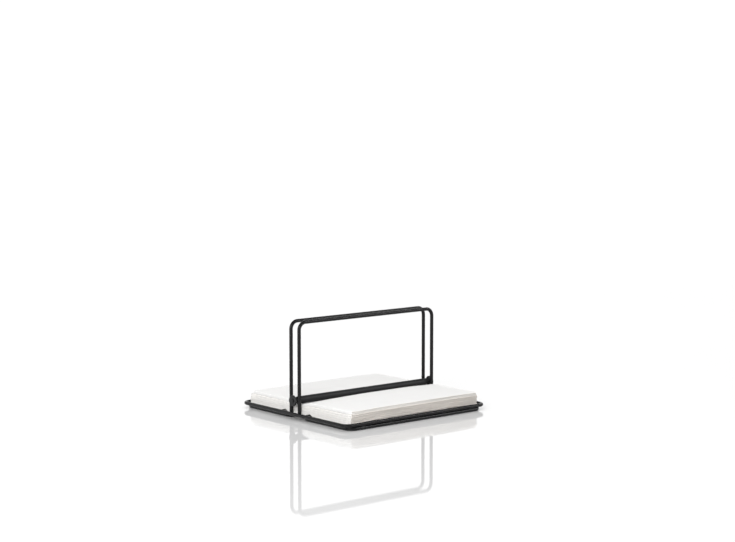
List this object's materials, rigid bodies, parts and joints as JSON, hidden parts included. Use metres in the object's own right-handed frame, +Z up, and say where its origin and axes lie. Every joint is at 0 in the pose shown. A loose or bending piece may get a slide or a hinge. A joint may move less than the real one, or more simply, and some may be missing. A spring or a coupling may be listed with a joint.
{
  "type": "napkin dispenser",
  "caption": "Open wire napkin tray with upright wire arches and a rolling weight bar that holds down a flat stack of folded paper napkins.",
  "frame": {"origin": "on the table under the centre of the base", "axes": "+X along the weight bar, +Y from the front to the rear, +Z up"},
  "size_m": [0.195, 0.179, 0.1034],
  "materials": {
    "frame_wire": "satin black powder coat on steel wire",
    "support_wire": "satin black powder coat on thinner steel wire",
    "bar_sleeve": "matt charcoal coat on a steel tube",
    "bar_fittings": "satin charcoal coat, rubbed at the edges",
    "napkin_paper": "soft uncoated tissue, warm white, layered folded edges",
    "top_napkin_paper": "soft uncoated tissue, white"
  },
  "bodies": {
    "frame": {"base_rim": "frame_wire", "front_base_loop": "frame_wire", "rear_base_loop": "frame_wire", "front_arch": "frame_wire", "rear_arch": "frame_wire", "front_cross_wire": "support_wire", "rear_cross_wire": "support_wire", "front_left_runner": "support_wire", "front_right_runner": "support_wire", "rear_left_runner": "support_wire", "rear_right_runner": "support_wire", "napkin_1": "napkin_paper", "napkin_2": "napkin_paper", "napkin_3": "napkin_paper", "napkin_4": "napkin_paper", "napkin_5": "napkin_paper"},
    "bar_axle": {"axle": "bar_fittings", "left_end_disc": "bar_fittings", "right_end_disc": "bar_fittings"},
    "bar_roller": {"roller_sleeve": "bar_sleeve"},
    "pulled_napkin": {"top_napkin": "top_napkin_paper"}
  },
  "joints": [
    {"name": "bar_slide", "type": "slide", "parent": "frame", "child": "bar_axle", "axis": [0, 0, 1], "range_m": [0, 0.082]},
    {"name": "bar_roll", "type": "hinge", "parent": "bar_axle", "child": "bar_roller", "pos_m": [0, 0, 0.0196], "axis": [1, 0, 0], "continuous": true},
    {"name": "top_napkin_pull", "type": "slide", "parent": "frame", "child": "pulled_napkin", "axis": [0, -1, 0], "range_m": [0, 0.085]}
  ]
}
